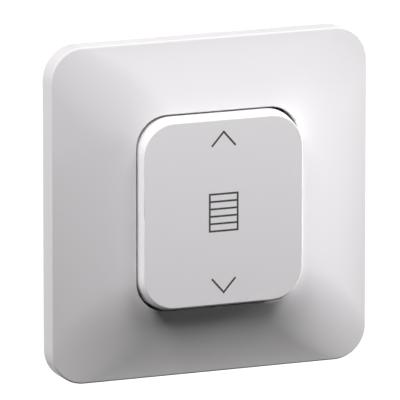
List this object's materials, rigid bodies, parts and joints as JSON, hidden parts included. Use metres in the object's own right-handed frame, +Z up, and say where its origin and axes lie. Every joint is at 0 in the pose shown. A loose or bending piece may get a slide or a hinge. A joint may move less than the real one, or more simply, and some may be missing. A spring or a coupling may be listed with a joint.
{
  "type": "roller shutter switch",
  "caption": "Flush wall switch for a roller shutter: square cover plate with hollow flanks, one tall centre-off rocker key with chevrons, and a wall box mechanism behind it.",
  "frame": {"origin": "middle of the cover plate's rear rim, in the plane of the wall", "axes": "+Y into the wall, +Z up, +X to the right as seen from the room; the key faces -Y"},
  "size_m": [0.082, 0.0384, 0.082],
  "materials": {
    "white_plate": "smooth satin white moulding",
    "white_key": "smooth satin white moulding",
    "inner_plastic": "light grey moulding",
    "housing_plastic": "dark grey moulding",
    "release_plastic": "orange moulding",
    "zinc_steel": "zinc plated sheet steel",
    "screw_steel": "zinc plated screws",
    "spring_steel": "bright spring steel",
    "brass": "rolled brass strip",
    "silver": "satin silver contact faces"
  },
  "bodies": {
    "housing": {"cover_plate": "white_plate", "support_frame": "zinc_steel", "mechanism_cover": "inner_plastic", "mechanism_base": "housing_plastic", "assembly_screws": "screw_steel", "up_terminal": "brass", "down_terminal": "brass", "common_terminal": "brass", "fixed_contact_up": "silver", "fixed_contact_down": "silver", "up_clamp_spring": "spring_steel", "down_clamp_spring": "spring_steel", "common_clamp_spring": "spring_steel", "left_claw_pin": "spring_steel", "right_claw_pin": "spring_steel"},
    "rocker": {"rocker_key": "white_key", "rocker_carrier": "inner_plastic", "plunger_spring": "spring_steel"},
    "plunger_body": {"plunger": "inner_plastic"},
    "seesaw": {"contact_seesaw": "brass", "seesaw_contact_up": "silver", "seesaw_contact_down": "silver"},
    "up_button": {"up_release": "release_plastic"},
    "down_button": {"down_release": "release_plastic"},
    "common_button": {"common_release": "release_plastic"},
    "left_spreader": {"left_claw": "zinc_steel"},
    "right_spreader": {"right_claw": "zinc_steel"},
    "left_screw": {"left_claw_screw": "screw_steel"},
    "right_screw": {"right_claw_screw": "screw_steel"}
  },
  "joints": [
    {"name": "key_tilt", "type": "hinge", "parent": "housing", "child": "rocker", "pos_m": [0, -0.007, 0], "axis": [1, 0, 0], "range_deg": [-5, 5]},
    {"name": "plunger_slide", "type": "slide", "parent": "rocker", "child": "plunger_body", "axis": [0, -1, 0], "range_m": [0, 0.001], "stiffness_N_per_m": 900, "deforming": ["plunger_spring"]},
    {"name": "seesaw_tilt", "type": "hinge", "parent": "housing", "child": "seesaw", "pos_m": [0, 0.0065, 0], "axis": [1, 0, 0], "range_deg": [-10, 10]},
    {"name": "up_release_press", "type": "slide", "parent": "housing", "child": "up_button", "axis": [0, -1, 0], "range_m": [0, 0.0016], "stiffness_N_per_m": 800, "deforming": ["up_clamp_spring"]},
    {"name": "down_release_press", "type": "slide", "parent": "housing", "child": "down_button", "axis": [0, -1, 0], "range_m": [0, 0.0016], "stiffness_N_per_m": 800, "deforming": ["down_clamp_spring"]},
    {"name": "common_release_press", "type": "slide", "parent": "housing", "child": "common_button", "axis": [0, -1, 0], "range_m": [0, 0.0016], "stiffness_N_per_m": 800, "deforming": ["common_clamp_spring"]},
    {"name": "left_screw_turn", "type": "hinge", "parent": "housing", "child": "left_screw", "pos_m": [-0.0233, 0, 0], "axis": [0, 1, 0], "range_deg": [0, 1080]},
    {"name": "right_screw_turn", "type": "hinge", "parent": "housing", "child": "right_screw", "pos_m": [0.0233, 0, 0], "axis": [0, 1, 0], "range_deg": [0, 1080]},
    {"name": "left_claw_spread", "type": "hinge", "parent": "housing", "child": "left_spreader", "pos_m": [-0.0199, 0.009, 0], "axis": [0, 0, 1], "range_deg": [0, 30]},
    {"name": "right_claw_spread", "type": "hinge", "parent": "housing", "child": "right_spreader", "pos_m": [0.0199, 0.009, 0], "axis": [0, 0, -1], "range_deg": [0, 30]}
  ],
  "couplings": [
    {"joint": "seesaw_tilt", "follows": "key_tilt", "ratio": -2},
    {"joint": "left_claw_spread", "follows": "left_screw_turn", "ratio": 0.027778},
    {"joint": "right_claw_spread", "follows": "right_screw_turn", "ratio": 0.027778}
  ]
}
